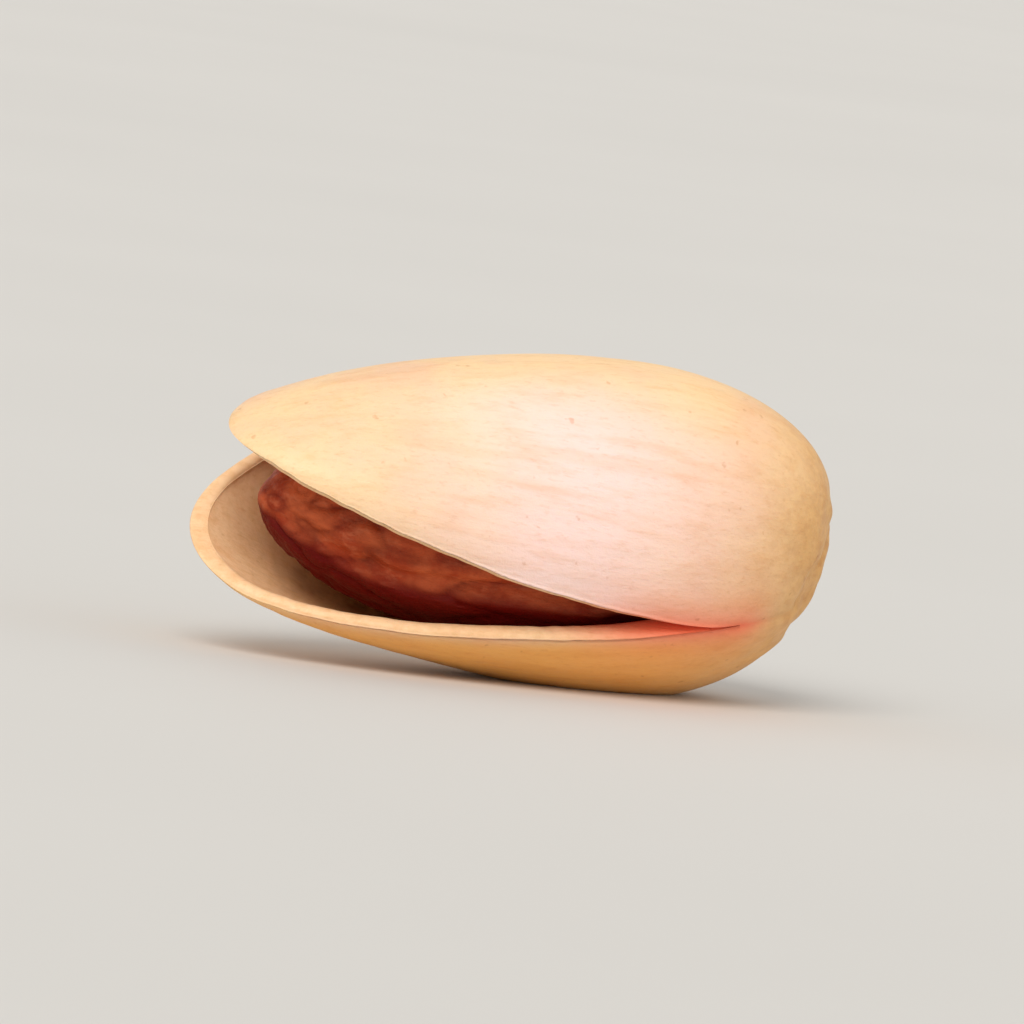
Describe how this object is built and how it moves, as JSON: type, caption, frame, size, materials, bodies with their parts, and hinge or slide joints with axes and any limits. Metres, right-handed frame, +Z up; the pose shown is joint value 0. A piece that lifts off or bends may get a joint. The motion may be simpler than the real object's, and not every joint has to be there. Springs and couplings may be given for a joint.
{
  "type": "pistachio in shell",
  "caption": "Roasted pistachio lying in its split shell: an egg-shaped woody shell open at the tip, with the seed showing in the gap.",
  "frame": {"origin": "under the middle of the nut, on the surface it lies on", "axes": "+Z up; the long axis runs along X with the stem end at +X and the open tip at -X; the wider split faces -Y"},
  "size_m": [0.0216, 0.0112, 0.0109],
  "materials": {
    "shell": "satin dry nutshell, cream with a pink flush beside the split",
    "kernel": "thin wrinkled red-brown seed skin, softly glossy"
  },
  "bodies": {
    "root": {"shell": "shell", "kernel": "kernel"}
  },
  "joints": []
}
